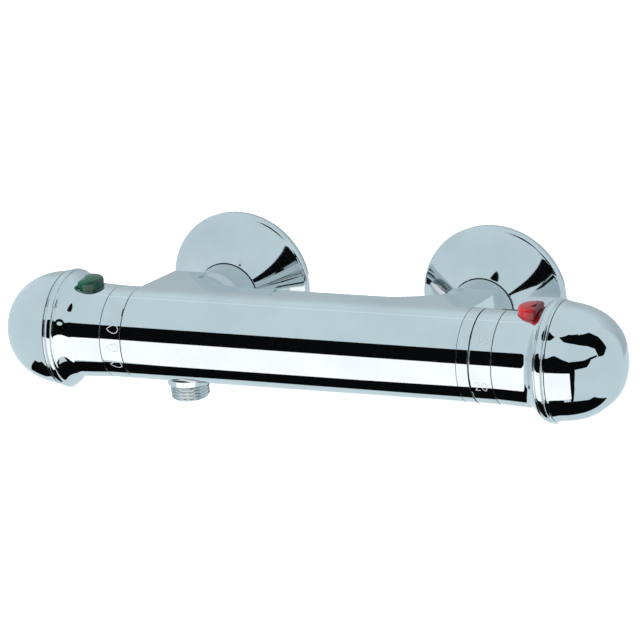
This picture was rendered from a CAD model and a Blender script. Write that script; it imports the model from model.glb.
"""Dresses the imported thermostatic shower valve: polished chrome, brass, rubber and moulded plastic.

X runs along the bar, Y into the wall and Z up. Sizes are in millimetres until a mesh is made.
"""

import logging
import math
from dataclasses import dataclass
from enum import Enum
from typing import Any, Iterable, Optional, Sequence

import bmesh
import bpy
from mathutils import Matrix, Vector


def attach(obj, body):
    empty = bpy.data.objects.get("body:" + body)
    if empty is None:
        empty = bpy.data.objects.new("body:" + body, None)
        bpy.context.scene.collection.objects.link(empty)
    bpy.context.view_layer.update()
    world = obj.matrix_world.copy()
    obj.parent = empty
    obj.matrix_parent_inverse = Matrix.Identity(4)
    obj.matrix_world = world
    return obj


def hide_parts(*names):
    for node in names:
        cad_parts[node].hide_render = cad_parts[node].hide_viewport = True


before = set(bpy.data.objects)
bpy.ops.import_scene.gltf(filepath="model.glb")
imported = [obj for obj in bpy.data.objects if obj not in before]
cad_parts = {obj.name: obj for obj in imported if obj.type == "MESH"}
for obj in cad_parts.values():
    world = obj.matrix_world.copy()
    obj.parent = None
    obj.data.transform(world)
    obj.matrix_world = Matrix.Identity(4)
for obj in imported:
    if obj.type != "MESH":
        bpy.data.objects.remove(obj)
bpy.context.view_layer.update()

log = logging.getLogger("shower_valve")

MM = 0.001
IMAGE_PIXELS = 640
BAR_R = 24.7
BAR_DEPTH = 90.0
# Where the handles' running gaps are along the bar
RIGHT_GAP = 101.35
LEFT_GAP = -94.9
INLET_X = 75.0
# Facets round a turned piece, and rings in one turn of a thread
AROUND = 192
THREAD_ROWS = 14
# Straight pieces in each side of a studio card, and rings between its middle and its edge
CARD_STEPS = 8
# Straight pieces along each curve
GROOVE_STEPS = 20
NOSE_STEPS = 120
DOME_STEPS = 72
DROP_STEPS = 40
ROSE_STEPS = 30
RIM_STEPS = 14
# Sharpness of the corner between a button's round side and its flat one
NOSE_POWER = 18
# Rings on a button's crown; the last stops short of the middle, where one flat face closes it
CROWN_ROWS = 8
CROWN_SPAN = 8.4
# Below one, the crests are broader than the roots
THREAD_CREST_POWER = 0.8
# Edges that turn more than this stay sharp, on most pieces, on buttons and on threads
SHARP_DEG = 32.0
BUTTON_SHARP_DEG = 40.0
THREAD_SHARP_DEG = 55.0
STEER = "large_faces_steer_shading"
STEER_WEIGHT = 60
# Hair's breadth: room between two pieces of one body, a fine bevel, or how deep joined pieces overlap
HAIR = 0.1
# Depth by which a thread runs into the hexagon that carries it
OVERLAP = 0.3
# Lengths below this count as none
TINY = 1e-6
# Share of a short side that the rounding of its corner may take
FILLET_SHARE = 0.4

RIGHT = (1.0, 0.0, 0.0)
FRONT = (0.0, -1.0, 0.0)
UP = (0.0, 0.0, 1.0)

DARK = "#0A0C0D"
SKY = "#BECDD3"
WHITE = "#FFFFFF"

Point = tuple[float, float]
Pair = tuple[float, float]
Place = tuple[float, float, float]
Profile = list[Point]
Points = Iterable[Sequence[float]]
Faces = Iterable[Sequence[int]]


class Body(str, Enum):
    """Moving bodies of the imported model."""

    VALVE = "valve_body"
    TEMPERATURE = "temperature_control"
    FLOW = "flow_control"
    OVERRIDE = "override_button"
    ECONOMY = "economy_button"


class Side(Enum):
    """Ends of the bar, as seen by the user."""

    LEFT = -1
    RIGHT = 1


@dataclass(frozen=True)
class Axis:
    """Where a turned piece stands: its origin in millimetres, its axis, and the two directions across it."""

    origin: Place
    along: Place
    across: Place
    up: Place

    def point(self, r: float, s: float, turn: float) -> Vector:
        """Point at a radius, a distance along the axis and a turn in radians from the across direction."""
        out = Vector(self.across) * math.cos(turn) + Vector(self.up) * math.sin(turn)
        return Vector(self.origin) + Vector(self.along) * s + out * r


def bar_axis(start: float) -> Axis:
    """Axis of the bar, outwards from a place along it; a turn of zero faces the user."""
    return Axis((start, -BAR_DEPTH, 0.0), (math.copysign(1.0, start), 0.0, 0.0), FRONT, UP)


def inlet_axis(side: Side, drop: float = 0.0) -> Axis:
    """Axis of an inlet from the wall towards the bar, lowered by drop."""
    return Axis((side.value * INLET_X, 0.0, -drop), FRONT, RIGHT, UP)


def to_linear(hex_code: str) -> tuple[float, float, float, float]:
    """Turns an sRGB hex colour into Blender's linear red, green, blue and alpha."""
    shares = [int(hex_code[k:k + 2], 16) / 255 for k in (1, 3, 5)]
    red, green, blue = (c / 12.92 if c <= 0.04045 else ((c + 0.055) / 1.055) ** 2.4 for c in shares)
    return (red, green, blue, 1.0)


def add_node(tree: bpy.types.NodeTree, kind: str, links: Optional[dict[str, Any]] = None,
             **settings: Any) -> Any:
    """Adds a shader node with its settings and links.

    Args:
        tree: node tree that the node goes in.
        kind: Blender's name of the node type.
        links: socket name to the output that feeds it.
        settings: attributes, or input sockets by name with spaces as underscores.

    Returns:
        The new node.
    """
    made = tree.nodes.new(kind)
    names = {socket.name.replace(" ", "_"): socket for socket in made.inputs if socket.enabled}
    for key, value in settings.items():
        if key in names:
            names[key].default_value = value
        else:
            setattr(made, key, value)
    for name, output in (links or {}).items():
        tree.links.new(output, made.inputs[name])
    return made


def blank_material(name: str) -> bpy.types.Material:
    """New material whose node tree is still empty."""
    material = bpy.data.materials.new(name)
    material.use_nodes = True
    material.node_tree.nodes.clear()
    return material


def add_object(name: str, data: Any) -> bpy.types.Object:
    """Adds an object with the given mesh, lamp or camera to the scene."""
    made = bpy.data.objects.new(name, data)
    bpy.context.scene.collection.objects.link(made)
    return made


def add_mesh(name: str, points: Points, faces: Faces) -> bpy.types.Object:
    """Adds an object with a mesh of the given points, in metres, and faces."""
    mesh = bpy.data.meshes.new(name)
    mesh.from_pydata([tuple(p) for p in points], [], [tuple(f) for f in faces])
    return add_object(name, mesh)


def bands(rows: int, around: int, closed: bool = False, first: int = 0) -> list[tuple[int, ...]]:
    """Faces between neighbouring rings of points.

    Args:
        rows: number of rings.
        around: points in a ring.
        closed: whether the last ring joins the first one.
        first: number of the first point.

    Returns:
        Corner numbers of each face.
    """
    faces = []
    for k in range(rows if closed else rows - 1):
        low, high = first + k * around, first + (k + 1) % rows * around
        for j in range(around):
            n = (j + 1) % around
            faces.append((low + j, low + n, high + n, high + j))
    return faces


# Values that the noise keeps between for most of a surface
NOISE_SPAN = (0.3, 0.7)


@dataclass(frozen=True)
class Finish:
    """One real material and how its surface was made."""

    name: str
    colours: tuple[str, str]
    metallic: float
    roughness: Pair
    mottle_mm: float
    grain_mm: float
    grain_height_mm: float
    ior: float = 1.5
    turned_along: Optional[str] = None
    slot: str = ""

    def material(self) -> bpy.types.Material:
        """Builds the material: mottled colour, uneven roughness and a fine bump, in object coordinates."""
        existing = bpy.data.materials.get(self.name)
        if existing:
            return existing
        material = blank_material(self.name)
        tree = material.node_tree
        spot = add_node(tree, "ShaderNodeTexCoord").outputs["Object"]
        mottle = add_node(tree, "ShaderNodeTexNoise", {"Vector": spot}, Scale=1 / (self.mottle_mm * MM),
                          Detail=4.0, Roughness=0.55)
        colour = add_node(tree, "ShaderNodeValToRGB", {"Fac": mottle.outputs["Fac"]})
        for stop, position, shade in zip(colour.color_ramp.elements, NOISE_SPAN, self.colours):
            stop.position = position
            stop.color = to_linear(shade)
        rough = add_node(tree, "ShaderNodeMapRange", {"Value": mottle.outputs["Fac"]}, From_Min=NOISE_SPAN[0],
                         From_Max=NOISE_SPAN[1], To_Min=self.roughness[0], To_Max=self.roughness[1])
        if self.turned_along:
            stretch = [1 / (self.grain_mm * MM) if self.turned_along == axis else 1.0 for axis in "XYZ"]
            lines = add_node(tree, "ShaderNodeMapping", {"Vector": spot}, Scale=stretch)
            vector, scale = lines.outputs["Vector"], 1.0
        else:
            vector, scale = spot, 1 / (self.grain_mm * MM)
        grain = add_node(tree, "ShaderNodeTexNoise", {"Vector": vector}, Scale=scale, Detail=2.0)
        bump = add_node(tree, "ShaderNodeBump", {"Height": grain.outputs["Fac"]}, Strength=1.0,
                        Distance=self.grain_height_mm * MM)
        shader = add_node(
            tree, "ShaderNodeBsdfPrincipled",
            {"Base Color": colour.outputs["Color"], "Roughness": rough.outputs["Result"],
             "Normal": bump.outputs["Normal"]}, Metallic=self.metallic)
        if self.metallic < 0.5:
            shader.inputs["IOR"].default_value = self.ior
        add_node(tree, "ShaderNodeOutputMaterial", {"Surface": shader.outputs["BSDF"]})
        return material


# Chromium plate on a polished brass casting: a mirror with the faint long waves that hand polishing leaves
CAST_CHROME = Finish("chrome_plate_on_polished_casting", ("#CDD3D5", "#D6DBDC"), 1.0, (0.025, 0.045), 30.0,
                     14.0, 0.012, slot="chrome_casting")
# Chromium plate on turned brass: a truer mirror
TURNED_CHROME = Finish("chrome_plate_on_turned_brass", ("#CDD3D5", "#D5DADB"), 1.0, (0.02, 0.04), 18.0,
                       10.0, 0.004, slot="chrome_turned")
# Chromium plate on a zinc die casting, the handles: buffed, with soft edges
HANDLE_CHROME = Finish("chrome_plate_on_buffed_die_casting", ("#CDD3D5", "#D6DBDC"), 1.0, (0.02, 0.04), 24.0,
                       16.0, 0.006, slot="chrome_handle")
# Chromium plate on spun sheet, the wall roses: a mirror a little less true than that on turned brass
SPUN_CHROME = Finish("chrome_plate_on_spun_sheet", ("#C8CED1", "#D3D8DA"), 1.0, (0.03, 0.06), 22.0,
                     12.0, 0.006, slot="chrome_spun")
# Free-cutting brass straight from the lathe: yellow metal with fine tool lines round the axis
BAR_BRASS = Finish("turned_brass_along_bar", ("#B08D4E", "#C6A565"), 1.0, (0.18, 0.30), 6.0, 0.35, 0.004,
                   turned_along="X", slot="brass")
INLET_BRASS = Finish("turned_brass_along_inlet", ("#AD8A4B", "#C3A263"), 1.0, (0.20, 0.34), 6.0, 0.35, 0.004,
                     turned_along="Y", slot="brass")
# Vulcanised nitrile rubber: nearly black, dull, with a moulded skin
NITRILE = Finish("moulded_nitrile_rubber", ("#111213", "#1C1D1E"), 0.0, (0.55, 0.75), 4.0, 0.5, 0.01,
                 ior=1.52, slot="rubber")
# Acetal, moulded: milky and slightly waxy
ACETAL = Finish("moulded_white_acetal", ("#DEDFDA", "#EAEAE5"), 0.0, (0.30, 0.42), 5.0, 0.4, 0.003, ior=1.48,
                slot="white_plastic")
# Glass-filled nylon, moulded: dark grey with a dry, speckled face
NYLON = Finish("moulded_grey_glass_filled_nylon", ("#34373A", "#44474A"), 0.0, (0.45, 0.62), 1.2, 0.3,
               0.006, ior=1.53, slot="grey_plastic")
# Alumina, ground and lapped: white, dense and lightly shiny
ALUMINA = Finish("lapped_white_alumina", ("#E8E8E4", "#F1F0EC"), 0.0, (0.10, 0.18), 3.0, 0.25, 0.001,
                 ior=1.76, slot="ceramic")
# Copper, deep drawn: reddish with slight oxide bloom
COPPER = Finish("drawn_copper", ("#A9633C", "#C07A50"), 1.0, (0.22, 0.36), 5.0, 0.6, 0.004, slot="copper")
# Stainless spring wire, drawn: grey with lines along the wire, here a fine grain
SPRING_STEEL = Finish("drawn_stainless_spring_wire", ("#8D9193", "#A5A8AA"), 1.0, (0.22, 0.32), 2.0,
                      0.2, 0.002, slot="spring_steel")
# ABS, moulded, half gloss: clear red
RED_ABS = Finish("moulded_red_abs", ("#A5050F", "#B80912"), 0.0, (0.20, 0.27), 3.5, 0.8, 0.002, ior=1.54,
                 slot="red_button")
# ABS, moulded, half gloss: emerald green, nearly black where nothing lights it
GREEN_ABS = Finish("moulded_green_abs", ("#004B32", "#005A3C"), 0.0, (0.20, 0.27), 3.5, 0.8, 0.002, ior=1.54,
                   slot="green_button")
# Lines that a laser etched into the chromium: matt and light grey
ETCHED_CHROME = Finish("laser_etched_chrome", ("#BFC6C9", "#CBD1D3"), 0.3, (0.55, 0.65), 1.5, 0.2, 0.002,
                       slot="chrome_turned")

# CAD nodes that stay, by the finish that they get
STAYING_NODES: tuple[tuple[Finish, tuple[str, ...]], ...] = (
    (CAST_CHROME, ("bar_body",)),
    (INLET_BRASS, ("left_inlet_tail", "right_inlet_tail")),
    (BAR_BRASS, ("thermostat_housing", "adjuster_nut", "thermostat_spindle", "flow_cartridge_housing",
                 "flow_spindle")),
    (COPPER, ("wax_element",)),
    (ACETAL, ("left_check_valve_cage", "right_check_valve_cage", "left_check_valve_poppet",
              "right_check_valve_poppet", "thermostat_shuttle")),
    (NYLON, ("temperature_stop_ring", "flow_stop_ring")),
    (ALUMINA, ("fixed_disc", "moving_disc")),
    (NITRILE, ("outlet_seal", "left_filter_washer", "right_filter_washer", "thermostat_o_rings",
               "flow_o_rings", "disc_seal")),
    (SPRING_STEEL, ("left_check_valve_spring", "right_check_valve_spring", "overload_spring", "return_spring",
                    "temperature_handle_screw", "flow_handle_screw", "override_button_spring",
                    "economy_button_spring")),
)


def mesh_object(name: str, points: Points, faces: Faces, finish: Finish, sharp_deg: float = SHARP_DEG,
                weighted: bool = True) -> bpy.types.Object:
    """Makes a closed, smooth-shaded mesh from points in millimetres.

    Args:
        name: the piece's name.
        points: corners in millimetres.
        faces: corner numbers of each face.
        finish: material to give it.
        sharp_deg: edges that turn more than this stay sharp.
        weighted: whether large faces steer the shading, which keeps flats flat beside rounded edges.

    Returns:
        The new object, linked to the scene.
    """
    piece = add_mesh(name, [[c * MM for c in p] for p in points], faces)
    mesh = piece.data
    shape = bmesh.new()
    shape.from_mesh(mesh)
    bmesh.ops.remove_doubles(shape, verts=shape.verts, dist=1e-7)
    bmesh.ops.recalc_face_normals(shape, faces=shape.faces)
    shape.to_mesh(mesh)
    shape.free()
    mesh.validate()
    mesh.shade_smooth()
    mesh.set_sharp_from_angle(angle=math.radians(sharp_deg))
    mesh.materials.append(finish.material())
    if weighted:
        steer = piece.modifiers.new(STEER, "WEIGHTED_NORMAL")
        steer.keep_sharp = True
        steer.weight = STEER_WEIGHT
    return piece


def stack(name: str, rings: Sequence[Sequence[Vector]], finish: Finish, closed: bool = False,
          sharp_deg: float = SHARP_DEG, weighted: bool = False) -> bpy.types.Object:
    """Joins rings with equal numbers of points to one piece.

    Args:
        name: the piece's name.
        rings: the rings in order, in millimetres.
        finish: its material.
        closed: whether the last ring joins the first one; otherwise both get a flat face.
        sharp_deg: edges that turn more than this stay sharp.
        weighted: whether large faces steer the shading.

    Returns:
        The piece.
    """
    around = len(rings[0])
    points = [point for ring in rings for point in ring]
    faces = bands(len(rings), around, closed)
    if not closed:
        faces += [tuple(range(around)), tuple(range(len(points) - around, len(points)))]
    return mesh_object(name, points, faces, finish, sharp_deg, weighted)


def fillet(points: Profile, radius: float, least_turn: float = 20.0, steps: int = 4) -> Profile:
    """Rounds the corners of a closed outline that turn by more than least_turn degrees.

    Args:
        points: outline's corners in order.
        radius: rounding in millimetres, made smaller where the sides are short.
        least_turn: corners that turn less than this stay, since they belong to a drawn curve.
        steps: straight pieces in each arc.

    Returns:
        The rounded outline.
    """
    out: Profile = []
    count = len(points)
    for k in range(count):
        before, here, after = (Vector(points[(k + d) % count]) for d in (-1, 0, 1))
        a, b = before - here, after - here
        if min(here.x, a.length, b.length) < TINY:
            out.append(points[k])
            continue
        turn = math.pi - a.angle(b)
        if math.degrees(turn) < least_turn:
            out.append(points[k])
            continue
        reach = min(radius * math.tan(turn / 2), FILLET_SHARE * a.length, FILLET_SHARE * b.length)
        start, end = here + a.normalized() * reach, here + b.normalized() * reach
        for j in range(steps + 1):
            t = j / steps
            p = start * (1 - t) ** 2 + here * 2 * t * (1 - t) + end * t ** 2
            out.append((p.x, p.y))
    return out


def lathe(name: str, outline: Profile, axis: Axis, finish: Finish, round_mm: float = 0.0,
          around: int = AROUND) -> bpy.types.Object:
    """Turns a closed outline of radius and distance round an axis.

    Args:
        name: the piece's name.
        outline: closed outline; points of zero radius close the piece on its axis.
        axis: where the piece stands.
        finish: its material.
        round_mm: rounding of the sharp corners.
        around: facets round the axis.

    Returns:
        The turned piece.
    """
    outline = fillet(outline, round_mm) if round_mm else outline
    points = [axis.point(r, s, 2 * math.pi * j / around) for r, s in outline for j in range(around)]
    # On the axis, the first point of a ring stands for all of it
    stand_in = [k - k % around if outline[k // around][0] < TINY else k for k in range(len(points))]
    faces = [list(dict.fromkeys(stand_in[k] for k in face))
             for face in bands(len(outline), around, closed=True)]
    return mesh_object(name, points, [face for face in faces if len(face) > 2], finish)


@dataclass(frozen=True)
class PipeThread:
    """Parallel pipe thread with 14 turns to the inch; half inch and three quarter inch pipes both have it."""

    crest_r: float
    pitch: float = 1.814
    depth: float = 1.162

    def radius(self, s: float, turn: float) -> float:
        """Radius of the rounded flank at a distance along the axis and a turn round it."""
        wave = 0.5 + 0.5 * math.cos(2 * math.pi * s / self.pitch - turn)
        return self.crest_r - self.depth * (1 - wave ** THREAD_CREST_POWER)


HALF_INCH = PipeThread(10.48)


def threaded_tube(name: str, axis: Axis, low: float, high: float, thread: PipeThread, bore: float,
                  chamfers: Pair, finish: Finish, around: int = AROUND // 2) -> bpy.types.Object:
    """Tube with a real helical thread outside.

    Args:
        name: the piece's name.
        axis: where it stands.
        low, high: its two ends along the axis.
        thread: the thread's sizes.
        bore: radius of the hole.
        chamfers: length of the bevel at the low and the high end.
        finish: its material.
        around: facets round the axis.

    Returns:
        The threaded piece.
    """
    rows = max(8, round((high - low) / thread.pitch * THREAD_ROWS))
    turns = [2 * math.pi * j / around for j in range(around)]
    rings = [[axis.point(bore, low, turn) for turn in turns]]
    for k in range(rows + 1):
        s = low + (high - low) * k / rows
        # The bevels start at the thread's root and reach its crest
        room = min(1.0, (s - low) / max(chamfers[0], TINY), (high - s) / max(chamfers[1], TINY))
        limit = thread.crest_r - thread.depth * (1 - max(0.0, room))
        rings.append([axis.point(min(limit, thread.radius(s, turn)), s, turn) for turn in turns])
    rings.append([axis.point(bore, high, turn) for turn in turns])
    return stack(name, rings, finish, closed=True, sharp_deg=THREAD_SHARP_DEG)


def place(piece: bpy.types.Object, body: Body, finish: Finish, *nodes: str) -> None:
    """Rides a piece on its body and the CAD nodes that it stands for, and logs it."""
    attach(piece, body.value)
    if nodes:
        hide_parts(*nodes)
    log.info("%s rides on %s%s", piece.name, body.value, f" for {', '.join(nodes)}" if nodes else "")


def engrave(name: str, body: Body, path: Sequence[Point], axis: Axis, width: float, closed: bool) -> None:
    """Etches a line into the bar's radius, as an inlay sunk 0.15 mm and standing 0.02 mm proud.

    Args:
        name: the piece's name.
        body: what it rides on.
        path: points of distance along the axis and height round it, in millimetres.
        axis: axis of the round face.
        width: width of the line.
        closed: whether the path is a loop.
    """
    sunk, proud = BAR_R - 0.15, BAR_R + 0.02
    count = len(path)
    rings = []
    for k in range(count):
        here = Vector(path[k])
        before = Vector(path[(k - 1) % count] if closed or k else path[0])
        after = Vector(path[(k + 1) % count] if closed or k < count - 1 else path[-1])
        run = (after - before).normalized()
        across = Vector((-run.y, run.x)) * width / 2
        left, right = here + across, here - across
        rings.append([axis.point(r, p.x, p.y / BAR_R)
                      for r, p in ((sunk, left), (proud, left), (proud, right), (sunk, right))])
    place(stack(name, rings, ETCHED_CHROME, closed), body, ETCHED_CHROME)


def arc(cx: float, cy: float, rx: float, ry: float, start: float, end: float, steps: int = 14) -> list[Point]:
    """Points of an elliptic arc between two angles in degrees."""
    angles = [math.radians(start + (end - start) * k / steps) for k in range(steps + 1)]
    return [(cx + rx * math.cos(a), cy + ry * math.sin(a)) for a in angles]


def line(a: Point, b: Point, steps: int = 6) -> list[Point]:
    """Points of a straight line, so that it can bend round a cylinder."""
    return [(a[0] + (b[0] - a[0]) * k / steps, a[1] + (b[1] - a[1]) * k / steps) for k in range(steps + 1)]


def digit_paths(digit: str, w: float, h: float) -> list[tuple[list[Point], bool]]:
    """Strokes of a plain engraver's numeral in a box of width w and height h, centred on zero.

    Args:
        digit: one of 0, 2, 3, 4 and 5.
        w, h: size of the box that the strokes' middles fill.

    Returns:
        Each stroke's points and whether it is a loop.
    """
    x, y = w / 2, h / 2
    if digit == "0":
        return [(arc(0, 0, x, y, 0, 360, 32)[:-1], True)]
    if digit == "2":
        bowl = arc(0, y - x, x, x, 165, -25, 16)
        return [(bowl + line(bowl[-1], (-x, -y), 8)[1:] + line((-x, -y), (x, -y))[1:], False)]
    if digit == "3":
        return [(arc(0, y / 2, x * 0.92, y / 2, 150, -90, 16)
                 + arc(0, -y / 2, x, y / 2, 90, -150, 18)[1:], False)]
    if digit == "4":
        return [(line((x * 0.35, -y), (x * 0.35, y), 8) + line((x * 0.35, y), (-x, -y * 0.35), 8)[1:]
                 + line((-x, -y * 0.35), (x, -y * 0.35))[1:], False)]
    top = line((x * 0.8, y), (-x * 0.75, y), 4) + line((-x * 0.75, y), (-x * 0.85, y * 0.08), 4)[1:]
    return [(top + arc(-x * 0.1, -y * 0.36, x * 1.08, y * 0.64, 130, -140, 18), False)]


@dataclass
class Handle:
    """One round handle: shell, scale ring, dome cap and button."""

    side: Side
    body: Body
    button_body: Body
    word: str
    button_word: str
    button_finish: Finish
    bore_r: float = 20.6
    rebate_r: float = 22.1
    scale_w: float = 12.7
    skirt_r: float = 25.5
    swell_start: float = 29.0
    crest_r: float = 32.2
    crest_s: float = 40.0
    band_w: float = 2.9
    groove_w: float = 1.6
    groove_depth: float = 0.7
    dome_r: float = 30.9
    dome_len: float = 35.9
    dome_tuck: float = 2.5
    dome_power: float = 2.24
    dome_wall: float = 2.2
    dome_lip: float = 0.55
    dome_lip_len: float = 4.5
    cap_bore_r: float = 27.6
    web_s: float = 32.35
    web_t: float = 3.0
    hub_r: float = 12.45
    hub_start: float = 13.6
    spline_r: float = 5.0
    seam: float = 0.35
    gap: float = 0.5
    button_nose_s: float = 28.3
    button_nose_r: float = 7.9
    button_high: float = 32.0
    button_low: float = 18.05
    button_h: float = 5.8
    button_round: float = 1.6
    button_fall: float = 1.1
    button_edge_deg: float = 72.0
    flange_t: float = 1.5
    flange_w: float = 10.4
    flange_ends: Pair = (19.2, 32.15)
    finger_low: float = 16.0
    finger_w: float = 4.2
    slot_fit: float = 0.3
    slot_inside: float = 3.0
    slot_outside: float = 5.0
    swell_step: float = 0.4
    edge: float = 0.15
    scale_round: float = 0.5
    scale_rows: Pair = (4.0, 8.0)
    scale_edge: float = 0.07
    dome_edge: float = 0.12
    spigot_t: float = 1.8
    spigot_len: float = 3.6
    stroke: float = 0.42

    @property
    def axis(self) -> Axis:
        """The bar's axis from this handle's running gap."""
        return bar_axis(RIGHT_GAP if self.side is Side.RIGHT else LEFT_GAP)

    def grip_r(self, s: float) -> float:
        """Radius of the grip: a slightly tapered skirt, then a smooth swell to the crest and past it."""
        if s < self.swell_start:
            return BAR_R + (self.skirt_r - BAR_R) * (s - self.scale_w) / (self.swell_start - self.scale_w)
        turn = math.pi * (s - self.swell_start) / (self.crest_s - self.swell_start)
        return self.skirt_r + (self.crest_r - self.skirt_r) * (1 - math.cos(turn)) / 2

    def swell(self, low: float, high: float, steps: int) -> Profile:
        """Part of the grip's plain curve between two distances."""
        places = [low + (high - low) * k / steps for k in range(steps + 1)]
        return [(self.grip_r(s), s) for s in places]

    def groove(self, r_low: float, r_high: float, low: float, high: float) -> Profile:
        """Half-round groove between two distances, from one radius to another."""
        out = []
        for k in range(GROOVE_STEPS + 1):
            turn = math.pi * k / GROOVE_STEPS
            share = (1 - math.cos(turn)) / 2
            out.append((r_low + (r_high - r_low) * share - self.groove_depth * math.sin(turn),
                        low + (high - low) * share))
        return out

    @property
    def cap_start(self) -> float:
        """Distance at which the dome cap begins."""
        return self.crest_s + self.band_w / 2 + self.groove_w + self.seam

    def shell_outline(self) -> Profile:
        """Closed outline of the grip, from its hub round the sleeve, skirt and swell to the cap's seat."""
        band_low, band_high = self.crest_s - self.band_w / 2, self.crest_s + self.band_w / 2
        groove_low, front = band_low - self.groove_w, band_high + self.groove_w
        web_high = self.web_s + self.web_t
        return ([(self.spline_r, self.hub_start), (self.hub_r, self.hub_start), (self.hub_r, self.web_s),
                 (self.bore_r, self.web_s), (self.bore_r, 2 * self.gap), (self.rebate_r, 2 * self.gap),
                 (self.rebate_r, self.scale_w), (BAR_R - HAIR, self.scale_w)]
                + self.swell(self.scale_w + HAIR, self.swell_start, 6)
                + self.swell(self.swell_start + self.swell_step, groove_low - self.edge, 22)
                + self.groove(self.grip_r(groove_low), self.grip_r(band_low), groove_low, band_low)
                + self.swell(band_low + self.edge, band_high - self.edge, 6)
                + self.groove(self.grip_r(band_high), self.dome_r + self.dome_lip, band_high, front)
                + [(self.cap_bore_r, front), (self.cap_bore_r, band_low), (self.bore_r, web_high),
                   (self.spline_r, web_high)])

    def nose_outline(self, grow: float) -> list[Point]:
        """Plan of the button, round towards the bar and cut flat outwards, as places across and along it."""
        out = []
        for k in range(NOSE_STEPS):
            a = 2 * math.pi * k / NOSE_STEPS
            c, s = math.cos(a), math.sin(a)
            reach = self.button_nose_r + grow
            if s > 0:
                flat = (self.button_high - self.button_nose_s + grow) / s
                reach = (reach ** -NOSE_POWER + flat ** -NOSE_POWER) ** (-1 / NOSE_POWER)
            out.append((reach * c, self.button_nose_s + reach * s))
        return out

    def at(self, s: float, y: float, z: float) -> Vector:
        """Point at a distance along the axis, moved off it by y and z."""
        return self.axis.point(0.0, s, 0.0) + Vector((0.0, y, z))

    def block(self, name: str, levels: Sequence[Pair], finish: Finish) -> bpy.types.Object:
        """Upright block with the button's plan.

        Args:
            name: its name.
            levels: pairs of inset from the plan and height from the bar's axis, from the bottom up.
            finish: its material.

        Returns:
            The block, on top of the bar.
        """
        rings = [[self.at(s, -across, z) for across, s in self.nose_outline(-inset)] for inset, z in levels]
        return stack(name, rings, finish, sharp_deg=BUTTON_SHARP_DEG, weighted=True)

    def build_shell(self) -> None:
        """Turns the grip and cuts the button's slot through its skirt."""
        shell = lathe(self.word + "_grip", self.shell_outline(), self.axis, HANDLE_CHROME, self.edge)
        inside, outside = self.hub_r + self.slot_inside, BAR_R + self.slot_outside
        cutter = self.block("slot_cutter", [(-self.slot_fit, inside), (-self.slot_fit, outside)],
                            HANDLE_CHROME)
        cut = shell.modifiers.new("button_slot", "BOOLEAN")
        cut.object = cutter
        cut.solver = "EXACT"
        shell.modifiers.move(len(shell.modifiers) - 1, 0)
        bpy.context.view_layer.update()
        graph = bpy.context.evaluated_depsgraph_get()
        shell.modifiers[STEER].show_viewport = False
        finished = bpy.data.meshes.new_from_object(shell.evaluated_get(graph))
        shell.modifiers.remove(cut)
        shell.modifiers[STEER].show_viewport = True
        shell.data = finished
        finished.set_sharp_from_angle(angle=math.radians(SHARP_DEG))
        bpy.data.objects.remove(cutter)
        place(shell, self.body, HANDLE_CHROME, self.word + "_handle")

    def build_scale_ring(self) -> None:
        """Turns the scale ring and inlays its marks."""
        high = self.scale_w - self.seam
        inner = self.rebate_r + HAIR
        outline = ([(inner, self.gap), (BAR_R - self.scale_round, self.gap),
                    (BAR_R - self.edge, self.gap + self.edge), (BAR_R, self.gap + self.scale_round)]
                   + [(BAR_R, s) for s in self.scale_rows] + [(BAR_R, high), (inner, high)])
        ring = lathe(self.word + "_scale", outline, self.axis, TURNED_CHROME, self.scale_edge)
        place(ring, self.body, TURNED_CHROME, self.word + "_scale_ring")
        self.build_marks()

    def build_marks(self) -> None:
        """Marks of the scale; a handle without any has none."""

    def dome_point(self, share: float, inset: float) -> Point:
        """Point of the dome's curve at a share of its quarter turn, with the lip that meets the groove."""
        t = math.pi / 2 * share
        s = self.cap_start - self.dome_tuck + (self.dome_len - inset) * math.sin(t) ** (2 / self.dome_power)
        left = max(0.0, 1 - (s - self.cap_start) / self.dome_lip_len)
        curve = (self.dome_r - inset) * max(math.cos(t), 0.0) ** (2 / self.dome_power)
        return (curve + self.dome_lip * left ** 2, s)

    def dome_start(self, rise: float, inset: float) -> float:
        """Share of the quarter turn at which the curve stands a rise above the dome's start."""
        share = (self.dome_tuck + rise) / (self.dome_len - inset)
        return math.asin(share ** (self.dome_power / 2)) / (math.pi / 2)

    def build_dome(self) -> None:
        """Turns the domed cap with its spigot."""
        out_low, in_low = self.dome_start(0.0, 0.0), self.dome_start(self.dome_wall, self.dome_wall)
        out_steps, in_steps = DOME_STEPS, DOME_STEPS // 2
        outer = [self.dome_point(out_low + (1 - out_low) * k / out_steps, 0.0) for k in range(out_steps + 1)]
        inner = [self.dome_point(in_low + (1 - in_low) * k / in_steps, self.dome_wall)
                 for k in range(in_steps, -1, -1)]
        outer[-1], inner[0] = (0.0, outer[-1][1]), (0.0, inner[0][1])
        spigot, low = self.cap_bore_r - HAIR, self.cap_start
        hollow, end = spigot - self.spigot_t, low - self.spigot_len
        foot = [(hollow, low + self.dome_wall), (hollow, end), (spigot, end), (spigot, low)]
        dome = lathe(self.word + "_dome", outer + inner + foot, self.axis, HANDLE_CHROME, self.dome_edge)
        place(dome, self.body, HANDLE_CHROME, self.word + "_dome_cap")

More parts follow.
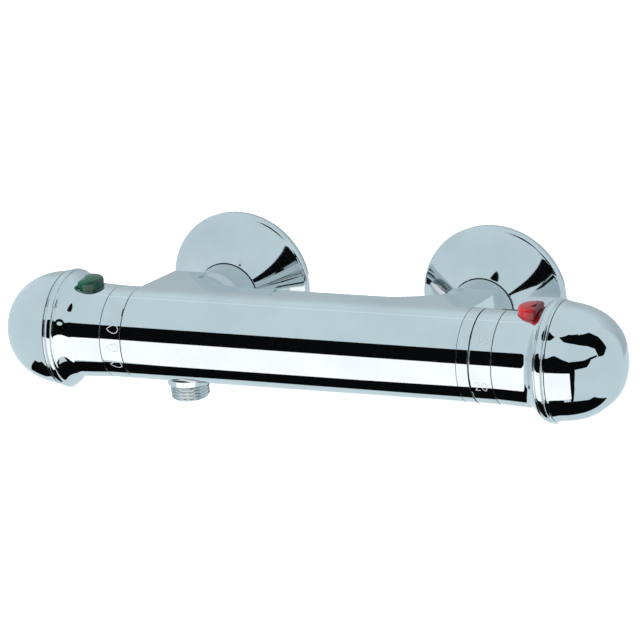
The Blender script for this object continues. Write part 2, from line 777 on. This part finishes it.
    def build_button(self) -> None:
        """Moulded button with soft edges and a crowned top, and its flange under the skirt."""
        crown, most = BAR_R + self.button_h, math.radians(self.button_edge_deg)
        shoulder = crown - self.button_fall - self.button_round * math.sin(most)
        levels = [(0.0, self.button_low + self.flange_t - HAIR)]
        for k in range(CROWN_ROWS + 1):
            t = most * k / CROWN_ROWS
            levels.append((self.button_round * (1 - math.cos(t)), shoulder + self.button_round * math.sin(t)))
        edge_inset = levels[-1][0]
        face_r = self.button_nose_r - edge_inset
        for k in range(1, CROWN_ROWS + 1):
            share = 1 - k / CROWN_SPAN
            levels.append((edge_inset + face_r * (1 - share), crown - self.button_fall * share ** 2))
        cap = self.block(self.button_word + "_cap", levels, self.button_finish)
        place(cap, self.button_body, self.button_finish, self.button_word)
        self.slab("_flange", self.flange_ends, self.flange_w)
        self.slab("_finger", (self.finger_low, self.flange_ends[0] + HAIR), self.finger_w)

    def slab(self, word: str, ends: Pair, width: float) -> None:
        """Flat bar of the button's foot between two distances along the bar."""
        (low, high), half = ends, width / 2
        rings = [[self.at(s, y, z) for s, y in ((low, -half), (high, -half), (high, half), (low, half))]
                 for z in (self.button_low, self.button_low + self.flange_t)]
        place(stack(self.button_word + word, rings, self.button_finish), self.button_body, self.button_finish)

    def build(self) -> None:
        """Builds the whole handle."""
        self.build_shell()
        self.build_scale_ring()
        self.build_dome()
        self.build_button()


@dataclass
class TemperatureHandle(Handle):
    """Right handle, with numerals in steps of ten degrees Celsius."""

    numerals: tuple[tuple[str, float], ...] = (("20", -18.0), ("30", 40.0), ("40", 98.0), ("50", 156.0))
    numeral_mid: float = 6.3
    numeral_h: float = 5.0
    digit_w: float = 2.5
    digit_step: float = 3.9

    def build_marks(self) -> None:
        """Numerals that read along the bar, upright for the user."""
        for number, angle in self.numerals:
            height = math.radians(angle) * BAR_R
            for place_no, digit in enumerate(number):
                mid = self.numeral_mid + (place_no - 0.5) * self.digit_step
                for k, (path, closed) in enumerate(digit_paths(digit, self.digit_w, self.numeral_h)):
                    moved = [(mid + x, height + y) for x, y in path]
                    engrave(f"scale_numeral_{number}_{place_no}_{k}", self.body, moved, self.axis,
                            self.stroke, closed)


@dataclass
class FlowHandle(Handle):
    """Left handle, with three outlined water drops."""

    drops: tuple[float, ...] = (22.6, -0.7, -25.5)
    drop_low: float = 1.9
    drop_high: float = 8.4
    drop_w: float = 4.2
    drop_fullness: float = 0.65
    drop_tip_power: float = 0.9

    def build_marks(self) -> None:
        """Drops whose tips point outwards."""
        length = self.drop_high - self.drop_low
        for k, angle in enumerate(self.drops):
            height = math.radians(angle) * BAR_R
            path = []
            for j in range(DROP_STEPS):
                t = 2 * math.pi * j / DROP_STEPS
                swing = math.sin(t) * abs(math.cos(t / 2)) ** self.drop_tip_power
                path.append((self.drop_low + length * (0.5 - 0.5 * math.cos(t)),
                             height + self.drop_w * self.drop_fullness * swing))
            engrave(f"scale_drop_{k}", self.body, path, self.axis, self.stroke, True)


@dataclass
class Inlet:
    """One wall inlet: rose, offset connector and union nut."""

    side: Side
    word: str
    rose_r: float = 40.85
    rose_back_r: float = 40.3
    rose_rim: float = 6.4
    rose_proj: float = 22.5
    rose_wall: float = 1.6
    rose_sag: float = 1.0
    rose_fit: float = 0.3
    rose_edge: float = 0.3
    rose_round: float = 4.0
    rose_round_turn: float = 52.0
    nut_r: float = 17.3
    nut_len: float = 21.2
    nut_back: float = 42.7
    nut_lip: float = 2.2
    union_r: float = 13.2
    union_front: float = 35.0
    union_offset: float = 8.0
    hex_r: float = 18.5
    hex_low: float = 7.4
    hex_high: float = 15.4
    tail_r: float = 10.4
    bore_r: float = 7.0
    thread_len: float = 18.0
    collar_back: float = 15.5
    collar_front: float = 18.5
    collar_t: float = 1.5
    collar_fit: float = 0.06
    collar_edge: float = 0.2
    collar_flare: tuple[Point, Point] = ((22.6, 15.6), (20.4, 17.9))
    nut_bevel: float = 0.3
    nut_front_bevel: float = 0.6
    nut_edge: float = 0.25
    hex_bevel: float = 0.7
    wall_thread_bevel: float = 1.2
    front_thread_bevel: float = 1.0

    def rose_point(self, share: float, wall: float) -> Point:
        """Point of the rose's face, drawn in a little between rim and hole."""
        hole = self.nut_r + self.rose_fit
        rim = self.rose_r - self.rose_round * (1 - math.cos(math.radians(self.rose_round_turn)))
        rise = (self.rose_proj - self.rose_rim) * share
        sag = 4 * self.rose_sag * share * (1 - share)
        return (rim + (hole - rim) * share, self.rose_rim + rise - sag - wall)

    def build_rose(self) -> None:
        """Spins the rose with its rounded rim, and the collar inside that holds it on the union."""
        shares = [k / ROSE_STEPS for k in range(ROSE_STEPS + 1)]
        turns = [math.radians(self.rose_round_turn) * k / RIM_STEPS for k in range(RIM_STEPS)]
        side = self.rose_rim - self.rose_round * math.sin(math.radians(self.rose_round_turn))
        rim = [(self.rose_r - self.rose_round * (1 - math.cos(t)), side + self.rose_round * math.sin(t))
               for t in turns]
        outer = [self.rose_point(share, 0.0) for share in shares]
        inner = [self.rose_point(share, self.rose_wall) for share in reversed(shares)]
        outline = ([(self.rose_back_r, 0.0)] + rim + outer + inner
                   + [(self.rose_back_r - self.rose_wall, side), (self.rose_back_r - self.rose_wall, 0.0)])
        rose = lathe(self.word + "_rose", outline, inlet_axis(self.side), SPUN_CHROME, self.rose_edge)
        place(rose, Body.VALVE, SPUN_CHROME, self.word + "_wall_rose")
        bore, skin = self.union_r + self.collar_fit, self.union_r + self.collar_t
        collar = [(bore, self.collar_back), (skin, self.collar_back), *self.collar_flare,
                  (skin, self.collar_front), (bore, self.collar_front)]
        grip = lathe(self.word + "_rose_collar", collar, inlet_axis(self.side), SPUN_CHROME, self.collar_edge,
                     around=AROUND // 2)
        place(grip, Body.VALVE, SPUN_CHROME)

    def build_nut(self) -> None:
        """Turns the union nut."""
        low = self.nut_back - self.nut_len
        lip = self.nut_back - self.nut_lip
        bevel, front = self.nut_bevel, self.nut_front_bevel
        outline = [(self.union_r + HAIR, low), (self.nut_r - bevel, low), (self.nut_r, low + bevel),
                   (self.nut_r, self.nut_back - front), (self.nut_r - front, self.nut_back),
                   (self.tail_r + HAIR, self.nut_back), (self.tail_r + HAIR, lip), (self.union_r + HAIR, lip)]
        nut = lathe(self.word + "_nut", outline, inlet_axis(self.side), TURNED_CHROME, self.nut_edge)
        place(nut, Body.VALVE, TURNED_CHROME, self.word + "_union_nut")

    def build_union(self) -> None:
        """Offset connector: hexagon, threaded spigot for the wall and threaded front."""
        bevel = self.hex_bevel
        hexagon = ((self.hex_low, self.hex_r - bevel), (self.hex_low + bevel, self.hex_r),
                   (self.hex_high - bevel, self.hex_r), (self.hex_high, self.hex_r - bevel))
        axis = inlet_axis(self.side, self.union_offset / 2)
        rings = [[axis.point(r, level, math.pi / 3 * j) for j in range(6)] for level, r in hexagon]
        block = stack(self.word + "_union_hexagon", rings, INLET_BRASS)
        place(block, Body.VALVE, INLET_BRASS, self.word + "_offset_union")
        wall_end = threaded_tube(self.word + "_union_wall_thread", inlet_axis(self.side, self.union_offset),
                                 -self.thread_len, self.hex_low + OVERLAP, HALF_INCH, self.bore_r,
                                 (self.wall_thread_bevel, 0.0), INLET_BRASS)
        place(wall_end, Body.VALVE, INLET_BRASS)
        front = threaded_tube(self.word + "_union_front_thread", inlet_axis(self.side),
                              self.hex_high - OVERLAP, self.union_front, PipeThread(self.union_r),
                              self.bore_r, (0.0, self.front_thread_bevel), INLET_BRASS)
        place(front, Body.VALVE, INLET_BRASS)

    def build(self) -> None:
        """Builds the whole inlet."""
        self.build_rose()
        self.build_nut()
        self.build_union()


@dataclass
class Bar:
    """Fixed ring with the index mark and the hose outlet; the casting itself is the CAD node."""

    index_ring_start: float = 94.9
    ring_w: float = 6.45
    ring_bore: float = 20.6
    seam: float = 0.35
    index_w: float = 0.8
    index_margin: float = 0.25
    ring_edge: float = 0.22
    collar_edge: float = 0.25
    thread_bevel: float = 0.9
    outlet_x: float = -69.0
    outlet_low: float = 34.3
    collar_low: float = 25.9
    collar_high: float = 22.5
    collar_r: float = 11.7
    inner_thread_r: float = 9.4
    inner_end: float = 19.1
    bore_r: float = 7.2

    def build_index_ring(self) -> None:
        """Turns the narrow ring and inlays its mark."""
        axis = bar_axis(self.index_ring_start)
        low = self.seam / 2
        outline = [(self.ring_bore, low), (BAR_R, low), (BAR_R, self.ring_w / 2), (BAR_R, self.ring_w),
                   (self.ring_bore, self.ring_w)]
        ring = lathe("narrow_index_ring", outline, axis, TURNED_CHROME, self.ring_edge)
        place(ring, Body.VALVE, TURNED_CHROME, "index_ring")
        top = math.pi / 2 * BAR_R
        stroke = line((low + self.index_margin, top), (self.ring_w - self.index_margin, top))
        engrave("index_mark", Body.VALVE, stroke, axis, self.index_w, False)

    def build_outlet(self) -> None:
        """Hose nipple: collar against the bar, thread below it."""
        axis = Axis((self.outlet_x, -BAR_DEPTH, 0.0), (0.0, 0.0, -1.0), RIGHT, (0.0, 1.0, 0.0))
        outline = [(self.bore_r, self.inner_end), (self.inner_thread_r, self.inner_end),
                   (self.inner_thread_r, self.collar_high), (self.collar_r, self.collar_high),
                   (self.collar_r, self.collar_low), (self.bore_r, self.collar_low)]
        collar = lathe("outlet_collar", outline, axis, TURNED_CHROME, self.collar_edge, around=128)
        place(collar, Body.VALVE, TURNED_CHROME, "outlet_nipple")
        thread = threaded_tube("outlet_thread", axis, self.collar_low - HAIR / 2, self.outlet_low, HALF_INCH,
                               self.bore_r, (0.0, self.thread_bevel), TURNED_CHROME, around=144)
        place(thread, Body.VALVE, TURNED_CHROME)

    def dress_cad_nodes(self) -> None:
        """Gives every CAD node that stays its own finish."""
        for finish, names in STAYING_NODES:
            for name in names:
                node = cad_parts[name]
                node.data.materials.clear()
                node.data.materials.append(finish.material())
                log.info("%s is %s", name, finish.name)

    def build(self) -> None:
        """Builds the fixed pieces round the bar."""
        self.dress_cad_nodes()
        self.build_index_ring()
        self.build_outlet()


def hang(name: str, points: Points, faces: Faces, colour: str, gain: float) -> None:
    """Hangs a glowing or black sheet that only polished faces show.

    Args:
        name: its name.
        points: its corners in metres.
        faces: corner numbers of each face.
        colour: its sRGB colour.
        gain: strength of its glow.
    """
    sheet = add_mesh(name, points, faces)
    material = blank_material(name + "_light")
    glow = add_node(material.node_tree, "ShaderNodeEmission", Color=to_linear(colour), Strength=gain)
    add_node(material.node_tree, "ShaderNodeOutputMaterial", {"Surface": glow.outputs["Emission"]})
    sheet.data.materials.append(material)
    for ray in ("camera", "diffuse", "transmission", "volume_scatter", "shadow"):
        setattr(sheet, "visible_" + ray, False)


def direction(azimuth: float, elevation: float) -> Vector:
    """Unit vector of a direction; azimuth 0 is in front of the valve and 90 to its right."""
    a, e = math.radians(azimuth), math.radians(elevation)
    return Vector((math.sin(a) * math.cos(e), -math.cos(a) * math.cos(e), math.sin(e)))


@dataclass(frozen=True)
class Card:
    """A card of the studio on a sphere, given by the directions that it fills from the sphere's centre."""

    name: str
    corners: tuple[Point, ...]
    distance_m: float
    colour: str = DARK
    gain: float = 1.0
    centre_x: float = 0.0

    def build(self) -> None:
        """Hangs the card."""
        centre = Vector((self.centre_x, -BAR_DEPTH, 0.0)) * MM
        edge: list[Vector] = []
        for k, (azimuth, elevation) in enumerate(self.corners):
            after = self.corners[(k + 1) % len(self.corners)]
            for j in range(CARD_STEPS):
                t = j / CARD_STEPS
                edge.append(direction(azimuth + (after[0] - azimuth) * t,
                                      elevation + (after[1] - elevation) * t))
        middle = sum(edge, Vector()).normalized()
        points = [middle]
        for r in range(1, CARD_STEPS + 1):
            t = r / CARD_STEPS
            points += [(middle * (1 - t) + p * t).normalized() for p in edge]
        count = len(edge)
        faces: list[tuple[int, ...]] = [(0, 1 + j, 1 + (j + 1) % count) for j in range(count)]
        faces += bands(CARD_STEPS, count, first=1)
        hang(self.name, [centre + p * self.distance_m for p in points], faces, self.colour, self.gain)


def grey_wall(word: str, top_half: float, low_half: float, top: float, low: float, gain: float,
              distance_m: float) -> Card:
    """One step of the sky's fall towards the wall behind the valve.

    Args:
        word: its name.
        top_half, low_half: half its width in degrees, above and below.
        top, low: elevations of its edges.
        gain: strength of its glow.
        distance_m: how far off it hangs.

    Returns:
        The card.
    """
    arch = 2
    corners = ((180 - top_half, top), (180 - low_half, low), (180, low), (180 + low_half, low),
               (180 + top_half, top), (180, top + arch))
    return Card("grey_wall_" + word, corners, distance_m, SKY, gain)


@dataclass(frozen=True)
class Panel:
    """A near flat panel of the studio: upright, given by places along and up, or level, by along and deep."""

    name: str
    place: float
    corners: tuple[Point, ...]
    colour: str = DARK
    gain: float = 1.0
    upright: bool = True

    def build(self) -> None:
        """Hangs the panel."""
        points = [(x, self.place, v) if self.upright else (x, v, self.place) for x, v in self.corners]
        hang(self.name, [[c * MM for c in p] for p in points], [range(len(points))], self.colour, self.gain)


@dataclass
class Studio:
    """Camera, pale floor, soft light and the cards that the chrome reflects."""

    yaw: float = 24.89
    pitch: float = 19.08
    roll: float = -4.85
    focal_pixels: float = 3248.35
    distance: float = 1750.19
    target: Place = (-12.51, -40.0, -5.31)
    sensor_mm: float = 36.0
    view_reach_m: float = 60.0
    floor_z: float = -0.6
    sky_gain: float = 1.45
    world_gain: float = 0.22
    sky_radius_m: float = 3.2
    floor_reach: float = 14.0
    floor_glow: float = 0.9
    lamp_watts: float = 95.0
    lamp_size_m: float = 1.4
    lamp_place: Place = (-2.0, -0.8, 1.3)
    cards: tuple[Card, ...] = (
        Card("dark_line_right", ((14, 18), (24, 20), (46, 20), (60, 22.5), (74, 22), (74, 19), (60, 19),
                                 (53, 11), (48, 7), (28, 5), (14, 3)), 2.6),
        Card("dark_gap_right", ((16, 6), (28, 8), (26, -20), (26, -62), (20, -62)), 2.6),
        Card("dark_gap_above", ((-2, 66), (30, 72), (66, 68), (70, 56), (64, 42), (56, 45), (36, 52),
                                (12, 57)), 2.6),
        Card("dark_gap_beside", ((58, 66), (92, 60), (99, 45), (98, 24), (84, 17), (72, 19), (71, 34),
                                 (58, 43)), 0.2, centre_x=146.0),
        Card("dark_line_below", ((-30, -57), (0, -58), (30, -57), (62, -55), (84, -52), (84, -54.5),
                                 (62, -59), (30, -62), (0, -63.5), (-30, -62)), 0.26, centre_x=146.0),
        Card("white_wall_below", ((163, -50), (163, -13), (185, -10), (212, -14), (212, -50), (188, -52)),
             2.8, WHITE, 1.35),
        Card("bright_strip", ((-150, 61), (-138, 56), (-131, 53), (-120, 48.5), (-120, 50.5), (-131, 55),
                              (-138, 58), (-150, 63)), 2.8, SKY, 1.8),
        grey_wall("high", 44, 42, 38, -12, 1.32, 3.0),
        grey_wall("upper", 41, 40, 30, -11, 1.2, 2.95),
        grey_wall("middle", 38, 38, 22, -10, 1.08, 2.9),
        grey_wall("low", 36, 36, 12, -9, 0.98, 2.85),
    )
    panels: tuple[Panel, ...] = (
        Panel("dark_room", -278.0, ((-274, 0), (203, 0), (203, 70), (165, 86), (125, 112), (100, 117),
                                    (-274, 117))),
        Panel("white_table", -278.0, ((-274, -0.5), (-274, -378), (-120, -350), (60, -262), (203, -250),
                                      (203, -0.5)), WHITE, 1.45),
        Panel("dark_border", -280.0, ((-274, -200), (150, -200), (150, -380), (-274, -380))),
        Panel("dark_floor", -380.0, ((-515, -280), (-515, 85), (-194, -40), (150, -40), (430, 45),
                                     (430, -200), (260, -238), (150, -280)), upright=False),
    )

    def build_camera(self) -> None:
        """Camera at the photograph's place, with the photograph's long lens."""
        yaw, pitch, roll = (math.radians(v) for v in (self.yaw, self.pitch, self.roll))
        ahead = Vector((-math.sin(yaw) * math.cos(pitch), math.cos(yaw) * math.cos(pitch), -math.sin(pitch)))
        level = Vector((math.cos(yaw), math.sin(yaw), 0.0))
        upright = level.cross(ahead)
        right = level * math.cos(roll) + upright * math.sin(roll)
        up = upright * math.cos(roll) - level * math.sin(roll)
        data = bpy.data.cameras.new("photo_camera")
        data.sensor_width = self.sensor_mm
        data.lens = self.focal_pixels / IMAGE_PIXELS * self.sensor_mm
        data.clip_end = self.view_reach_m
        camera = add_object("photo_camera", data)
        turn = Matrix((right, up, -ahead)).transposed().to_4x4()
        stand = (Vector(self.target) - ahead * self.distance) * MM
        camera.matrix_world = Matrix.Translation(stand) @ turn
        bpy.context.scene.camera = camera

    def build_floor(self) -> None:
        """Plain pale floor, far enough below that no shadow crosses the view; the chrome doesn't see it."""
        corners = ((-1, -1), (1, -1), (1, 1), (-1, 1))
        floor = add_mesh("studio_floor", [(x * self.floor_reach, y * self.floor_reach, self.floor_z)
                                          for x, y in corners], [(0, 1, 2, 3)])
        material = blank_material("matt_white_paint")
        tree = material.node_tree
        spot = add_node(tree, "ShaderNodeTexCoord").outputs["Object"]
        noise = add_node(tree, "ShaderNodeTexNoise", {"Vector": spot}, Scale=3.0, Detail=3.0)
        tint = add_node(tree, "ShaderNodeValToRGB", {"Fac": noise.outputs["Fac"]})
        tint.color_ramp.elements[0].color = to_linear("#F7F8F8")
        tint.color_ramp.elements[1].color = to_linear(WHITE)
        shader = add_node(tree, "ShaderNodeBsdfPrincipled", {"Base Color": tint.outputs["Color"]},
                          Roughness=0.9, Emission_Color=to_linear(WHITE), Emission_Strength=self.floor_glow)
        add_node(tree, "ShaderNodeOutputMaterial", {"Surface": shader.outputs["BSDF"]})
        floor.data.materials.append(material)
        floor.visible_glossy = False

    def build_light(self) -> None:
        """Sky of a light tent for the chrome, with a weaker even light and a soft lamp for matt pieces."""
        world = bpy.data.worlds.new("light_tent")
        bpy.context.scene.world = world
        world.use_nodes = True
        back = world.node_tree.nodes["Background"]
        back.inputs["Color"].default_value = to_linear(SKY)
        back.inputs["Strength"].default_value = self.world_gain
        tent = bmesh.new()
        bmesh.ops.create_uvsphere(tent, u_segments=48, v_segments=24, radius=self.sky_radius_m)
        tent.verts.index_update()
        hang("light_tent_wall", [corner.co.copy() for corner in tent.verts],
             [[corner.index for corner in face.verts] for face in tent.faces], SKY, self.sky_gain)
        tent.free()
        lamp_data = bpy.data.lights.new("soft_lamp", "AREA")
        lamp_data.energy = self.lamp_watts
        lamp_data.size = self.lamp_size_m
        lamp = add_object("soft_lamp", lamp_data)
        lamp.location = self.lamp_place
        aim = Vector((0.0, -BAR_DEPTH * MM, 0.0)) - lamp.location
        lamp.rotation_euler = aim.to_track_quat("-Z", "Y").to_euler()
        lamp.visible_glossy = False

    def build(self) -> None:
        """Sets up the whole studio."""
        self.build_camera()
        self.build_floor()
        self.build_light()
        for card in self.cards:
            card.build()
        for panel in self.panels:
            panel.build()
        settings = bpy.context.scene.view_settings
        settings.view_transform = "Standard"
        settings.look = "None"
        log.info("studio has %d cards and %d panels", len(self.cards), len(self.panels))


def main() -> None:
    """Builds the studio and then each sub-assembly in turn."""
    logging.basicConfig(level=logging.INFO, format="%(name)s: %(message)s")
    Studio().build()
    Bar().build()
    for side, word in ((Side.LEFT, "left"), (Side.RIGHT, "right")):
        Inlet(side, word).build()
    TemperatureHandle(Side.RIGHT, Body.TEMPERATURE, Body.OVERRIDE, "temperature", "override_button",
                      RED_ABS).build()
    FlowHandle(Side.LEFT, Body.FLOW, Body.ECONOMY, "flow", "economy_button", GREEN_ABS).build()


if __name__ == "__main__":
    main()
